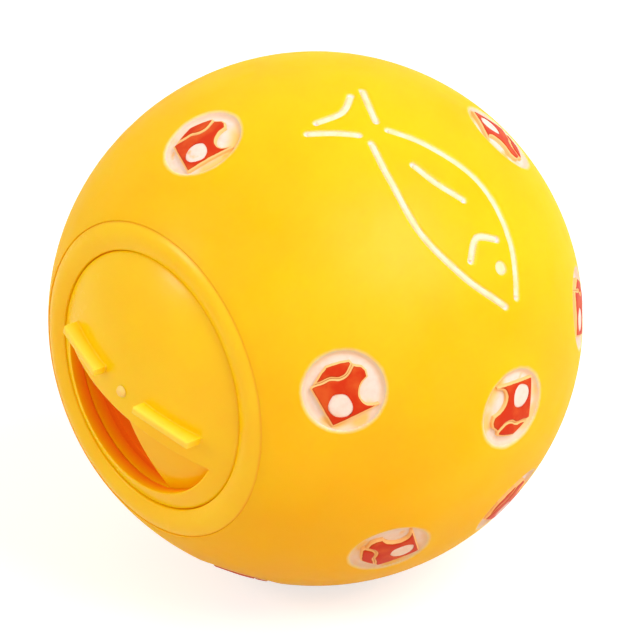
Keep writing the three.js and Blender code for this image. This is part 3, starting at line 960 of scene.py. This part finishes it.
# The tops of the bars are marked for the painted highlight.
painted_crest_highlight_layer = dial.verts.layers.float.new("crest")
inner_crest, outer_crest = [dome_height(DIAL_TOP, end) + BAR_HEIGHT for end in BAR_ENDS]
outer_crest += BAR_RISE
stand = faces_where(dial, under_bar)
for vert in extruded(dial, stand):
    share = (abs(vert.co.x) - BAR_ENDS[0]) / (BAR_ENDS[1] - BAR_ENDS[0])
    crest = inner_crest + (outer_crest - inner_crest) * share
    vert.co.z = crest - edge_fall(inside_bar(vert.co), BAR_ROUND)
    vert[painted_crest_highlight_layer] = 1
bmesh.ops.delete(dial, geom=stand, context="FACES")
bmesh.ops.recalc_face_normals(dial, faces=dial.faces[:])
dial.transform(turn_about("Z", DIAL_ANGLE))
make_piece("dial_disc", dial, dial_plastic, "dial", "dial")


# Pivot: a small rivet through the dial and the gate plate, with a domed head that shows as a bump. Its
# pale yellow is a painted highlight on that head.
# A washer is pushed on its tail inside the ball and keeps both plates together.
PIN_RADIUS = 0.4
PIN_END = 27.55
PIN_END_ROUNDING = 0.15
HEAD_UNDER = 33.02
HEAD_TOP = 33.6
HEAD_RADIUS = 0.8
HEAD_RIM = HEAD_UNDER + 0.1
HEAD_SHOULDER = HEAD_TOP - 0.15
HEAD_SHARES = (0.8, 0.45)
HEAD_POINTS = 10
CAP_RADIUS = 2.2
CAP_LOW = 28.15
CAP_HIGH = 29.3
CAP_ROUNDING = 0.25
PIVOT_STEPS = 48
PIVOT_PAINTED_HIGHLIGHT = colour(255, 222, 136)
PIVOT_PAINTED_HIGHLIGHT_DEEP = colour(254, 214, 120)

pivot_plastic = dispenser_finish("pivot_plastic", PIVOT_PAINTED_HIGHLIGHT, PIVOT_PAINTED_HIGHLIGHT_DEEP, roughness=0.3, scatter=0.0002)
head_handles = [
    (HEAD_RADIUS, HEAD_RIM),
    (HEAD_RADIUS * HEAD_SHARES[0], HEAD_SHOULDER),
    (HEAD_RADIUS * HEAD_SHARES[1], HEAD_TOP),
    (0, HEAD_TOP),
]
pin_profile = [(0, PIN_END), (PIN_RADIUS, PIN_END), (PIN_RADIUS, HEAD_UNDER), (HEAD_RADIUS, HEAD_UNDER)]
pin_profile += curved(head_handles, HEAD_POINTS)
pin = turned(pin_profile, PIVOT_STEPS, rounding={1: PIN_END_ROUNDING})
make_piece("pivot_rivet", pin, pivot_plastic, "dial", "pivot_pin")

cap_profile = [(PIN_HOLE, CAP_LOW), (CAP_RADIUS, CAP_LOW), (CAP_RADIUS, CAP_HIGH), (PIN_HOLE, CAP_HIGH)]
cap = turned(cap_profile, PIVOT_STEPS, closed=True, rounding={1: CAP_ROUNDING, 2: CAP_ROUNDING})
make_piece("pivot_washer", cap, gate_plastic, "dial", "pivot_cap")


# Studio: a pale floor under a white sky, with one large soft lamp to the upper right of the camera
# and a smaller, weaker one to its left. The camera stands where the photograph was taken from.
# Both the sky and the floor look white, while the light that they throw on the ball is warmer.
CAMERA_AZIMUTH = math.radians(48.73)
CAMERA_ELEVATION = math.radians(25.39)
CAMERA_DISTANCE = 0.9
CAMERA_LENS = 386.6
CAMERA_SENSOR = 36
CAMERA_SHIFT = (0.0070, -0.0023)
CAMERA_REACH = 20
CENTRE = Vector((0, 0, BALL_RADIUS * MM))
WHITE = (1, 1, 1, 1)
SKY_LIGHT = 0.8
SKY_TINT = (1.0, 0.79, 0.53, 1)
FLOOR_PALE = (0.52, 0.55, 0.62, 1)
FLOOR_GREY = (0.50, 0.53, 0.60, 1)
FLOOR_WARM = (0.69, 0.56, 0.42, 1)
FLOOR_GLOW = 0.7
FLOOR_HALF_WIDTH = 4
FLOOR_SQUARES = 8

back = Vector((
    math.sin(CAMERA_AZIMUTH) * math.cos(CAMERA_ELEVATION),
    -math.cos(CAMERA_AZIMUTH) * math.cos(CAMERA_ELEVATION),
    math.sin(CAMERA_ELEVATION),
))
right = Vector((math.cos(CAMERA_AZIMUTH), math.sin(CAMERA_AZIMUTH), 0))
up = back.cross(right)
lens = bpy.data.cameras.new("camera")
lens.lens = CAMERA_LENS
lens.sensor_width = CAMERA_SENSOR
lens.shift_x, lens.shift_y = CAMERA_SHIFT
lens.clip_end = CAMERA_REACH
camera = bpy.data.objects.new("camera", lens)
facing_ball = Matrix((right, up, back)).transposed().to_4x4()
camera.matrix_world = Matrix.Translation(CENTRE + back * CAMERA_DISTANCE) @ facing_ball
bpy.context.scene.collection.objects.link(camera)
bpy.context.scene.camera = camera


def soft_lamp(name, direction, distance, size, watts, tint):
    """A square soft lamp that points at the ball. direction is along the camera's right, up and back."""
    light = bpy.data.lights.new(name, "AREA")
    light.size = size
    light.energy = watts
    light.color = tint
    away = (right * direction[0] + up * direction[1] + back * direction[2]).normalized()
    lamp = bpy.data.objects.new(name, light)
    pointed = away.to_track_quat("Z", "Y").to_matrix().to_4x4()
    lamp.matrix_world = Matrix.Translation(CENTRE + away * distance) @ pointed
    bpy.context.scene.collection.objects.link(lamp)


def in_sight(tree):
    """1 for a ray that shows the thing itself: straight, mirrored or through something clear."""
    path = tree.nodes.new("ShaderNodeLightPath")
    straight, mirrored, through = [
        Wire(path.outputs[f"Is {kind} Ray"]) for kind in ("Camera", "Glossy", "Transmission")
    ]
    return straight.maths("MINIMUM", straight + mirrored + through, 1.0)


soft_lamp(
    "key_lamp", direction=(0.55, 0.5, 0.67), distance=0.7, size=0.45, watts=3.5, tint=(1, 0.99, 0.97)
)
soft_lamp(
    "side_lamp", direction=(-0.85, 0.33, 0.41), distance=0.8, size=0.2, watts=1.1, tint=(1, 0.97, 0.92)
)

sky = bpy.data.worlds.new("sky")
sky.use_nodes = True
sky.node_tree.nodes.clear()
seen = in_sight(sky.node_tree)
sky_sockets = {"Color": blend(seen, SKY_TINT, WHITE), "Strength": SKY_LIGHT + (1 - SKY_LIGHT) * seen}
sky_shader = seen.node("ShaderNodeBackground", {}, sky_sockets)
sky_output = sky.node_tree.nodes.new("ShaderNodeOutputWorld")
sky.node_tree.links.new(sky_shader.socket, sky_output.inputs["Surface"])
bpy.context.scene.world = sky

floor_paper, coords = new_finish("floor_finish")
seen = in_sight(floor_paper.node_tree)
paper = grain(coords, scale=40.0, detail=2.0)
surface(
    floor_paper,
    coords,
    blend(seen, FLOOR_WARM, blend(paper, FLOOR_PALE, FLOOR_GREY)),
    0.9 + 0.05 * paper,
    bump(coords, paper, depth=0.00001),
    Specular_IOR_Level=0.0,
    Emission_Color=blend(seen, BLACK, WHITE),
    Emission_Strength=FLOOR_GLOW,
)
floor_shape = bmesh.new()
bmesh.ops.create_grid(
    floor_shape, x_segments=FLOOR_SQUARES, y_segments=FLOOR_SQUARES, size=FLOOR_HALF_WIDTH
)
floor_mesh = bpy.data.meshes.new("floor")
floor_shape.to_mesh(floor_mesh)
floor_shape.free()
floor_mesh.materials.append(floor_paper)
floor = bpy.data.objects.new("floor", floor_mesh)
bpy.context.scene.collection.objects.link(floor)

bpy.context.scene.view_settings.view_transform = "Standard"
